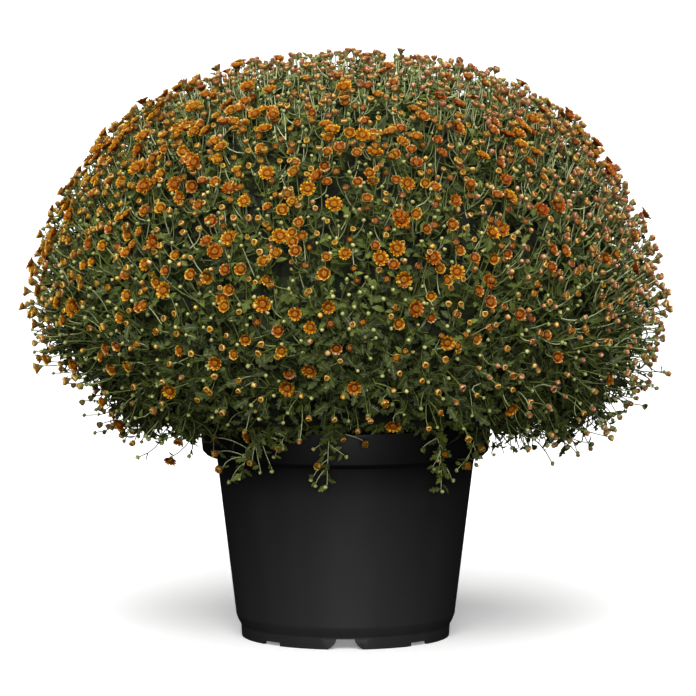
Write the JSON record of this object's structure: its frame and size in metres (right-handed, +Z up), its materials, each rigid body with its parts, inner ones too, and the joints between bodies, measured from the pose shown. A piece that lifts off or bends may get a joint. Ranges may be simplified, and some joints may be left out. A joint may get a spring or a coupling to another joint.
{
  "type": "pot chrysanthemum",
  "caption": "Garden chrysanthemum grown as a wide flattened dome of small orange button flowers, in a black tapered nursery pot.",
  "frame": {"origin": "centre of the pot's foot, on the surface it stands on", "axes": "+Z up along the pot's axis; -Y is the front, with a drain outlet and the trailing sprigs"},
  "size_m": [0.6737, 0.6687, 0.6149],
  "materials": {
    "pot_plastic": "moulded black polypropylene, satin to matte",
    "growing_mix": "damp fibrous peat and bark",
    "foliage": "matt, finely hairy chrysanthemum leaves",
    "flowers": "satin orange ray petals with yellow tips and salmon backs"
  },
  "bodies": {
    "root": {"pot": "pot_plastic", "soil": "growing_mix", "branch_00": "foliage", "branch_01": "foliage", "branch_02": "foliage", "branch_03": "foliage", "branch_04": "foliage", "branch_05": "foliage", "branch_06": "foliage", "branch_07": "foliage", "branch_08": "foliage", "branch_09": "foliage", "spray_00": "flowers", "spray_01": "flowers", "spray_02": "flowers", "spray_03": "flowers", "spray_04": "flowers", "spray_05": "flowers", "spray_06": "flowers", "spray_07": "flowers", "spray_08": "flowers", "spray_09": "flowers", "spray_10": "flowers", "spray_11": "flowers", "spray_12": "flowers", "spray_13": "flowers", "spray_14": "flowers", "spray_15": "flowers", "spray_16": "flowers", "spray_17": "flowers", "spray_18": "flowers", "spray_19": "flowers", "spray_20": "flowers", "spray_21": "flowers", "spray_22": "flowers", "spray_23": "flowers", "spray_24": "flowers", "spray_25": "flowers", "spray_26": "flowers", "spray_27": "flowers", "spray_28": "flowers", "spray_29": "flowers", "spray_30": "flowers", "spray_31": "flowers", "spray_32": "flowers", "spray_33": "flowers", "spray_34": "flowers", "spray_35": "flowers", "spray_36": "flowers", "spray_37": "flowers", "spray_38": "flowers", "spray_39": "flowers", "spray_40": "flowers", "spray_41": "flowers", "trail_0": "flowers", "trail_1": "flowers", "trail_2": "flowers", "trail_3": "flowers", "trail_4": "flowers"}
  },
  "joints": []
}
